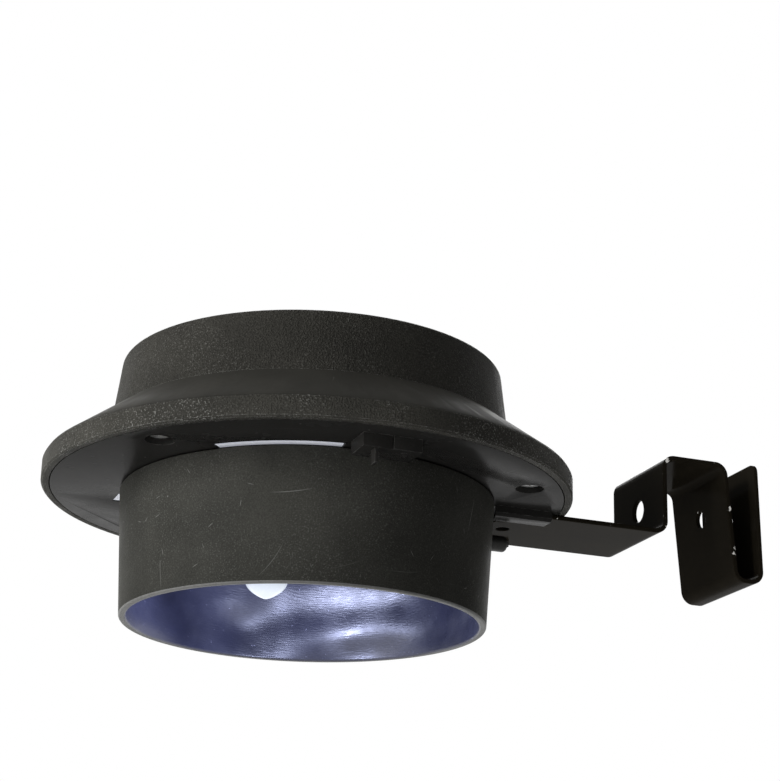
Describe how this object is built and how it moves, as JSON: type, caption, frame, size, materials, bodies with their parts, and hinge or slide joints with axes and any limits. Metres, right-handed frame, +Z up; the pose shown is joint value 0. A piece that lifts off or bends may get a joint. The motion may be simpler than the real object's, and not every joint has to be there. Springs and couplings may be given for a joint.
{
  "type": "solar gutter light",
  "caption": "Round flanged solar lamp with a twist-on tubular shade under it and a bent steel hook bracket for the edge of a gutter.",
  "frame": {"origin": "middle of the hook's seat: the underside of the bracket's top plate, halfway across the gutter channel and the strip", "axes": "+X along the bracket arm, from the lamp to the hook; +Z up; +Y to the left of the arm seen from the hook's open end"},
  "size_m": [0.1632, 0.115, 0.0562],
  "materials": {
    "housing_plastic": "black ABS, fine moulded grain",
    "base_plastic": "black ABS, satin",
    "shade_plastic": "black ABS, smooth satin outside and glossy inside",
    "bracket_paint": "gloss black paint on steel strip, worn at the edges",
    "zinc": "zinc-plated",
    "cover_clear": "clear gloss",
    "cell_silicon": "dark blue silicon under laminate",
    "foam": "closed-cell foam tape",
    "gasket_rubber": "matte",
    "holder_plastic": "black ABS, satin",
    "led_epoxy": "milky epoxy, lit",
    "white_plastic": "white ABS, lets light through",
    "tinned": "tinned metal",
    "board_green": "solder mask",
    "chip_black": "moulded epoxy",
    "inductor_green": "coated",
    "tray_plastic": "white ABS",
    "battery_wrap": "shrink sleeve",
    "nickel": "nickel-plated spring steel",
    "knob_plastic": "black nylon",
    "lead_red": "PVC sleeve",
    "lead_black": "PVC sleeve"
  },
  "bodies": {
    "lamp": {"top_housing": "housing_plastic", "panel_cover": "cover_clear", "solar_cell": "cell_silicon", "panel_foam": "foam", "base_plate": "base_plastic", "base_gasket": "gasket_rubber", "base_screws": "zinc", "led_holder": "holder_plastic", "led_lamp": "led_epoxy", "led_legs": "tinned", "inner_carrier": "white_plastic", "carrier_screws": "zinc", "circuit_board": "board_green", "board_screws": "zinc", "driver_chip": "chip_black", "inductor": "inductor_green", "charge_diode": "chip_black", "battery_tray": "tray_plastic", "battery": "battery_wrap", "positive_contact": "nickel", "negative_contact": "nickel", "switch_body": "tinned", "panel_lead_red": "lead_red", "panel_lead_black": "lead_black", "battery_lead_red": "lead_red", "battery_lead_black": "lead_black"},
    "shade": {"shade": "shade_plastic"},
    "switch_knob": {"switch_slider": "knob_plastic"},
    "bracket": {"bracket": "bracket_paint"}
  },
  "joints": [
    {"name": "shade_twist", "type": "hinge", "parent": "lamp", "child": "shade", "pos_m": [-0.0888, 0, -0.0166], "axis": [0, 0, 1], "range_deg": [0, 18]},
    {"name": "bracket_slide", "type": "slide", "parent": "lamp", "child": "bracket", "axis": [1, 0, 0], "range_m": [0, 0.01]},
    {"name": "switch_slide", "type": "slide", "parent": "lamp", "child": "switch_knob", "axis": [1, 0, 0], "range_m": [0, 0.002]}
  ]
}
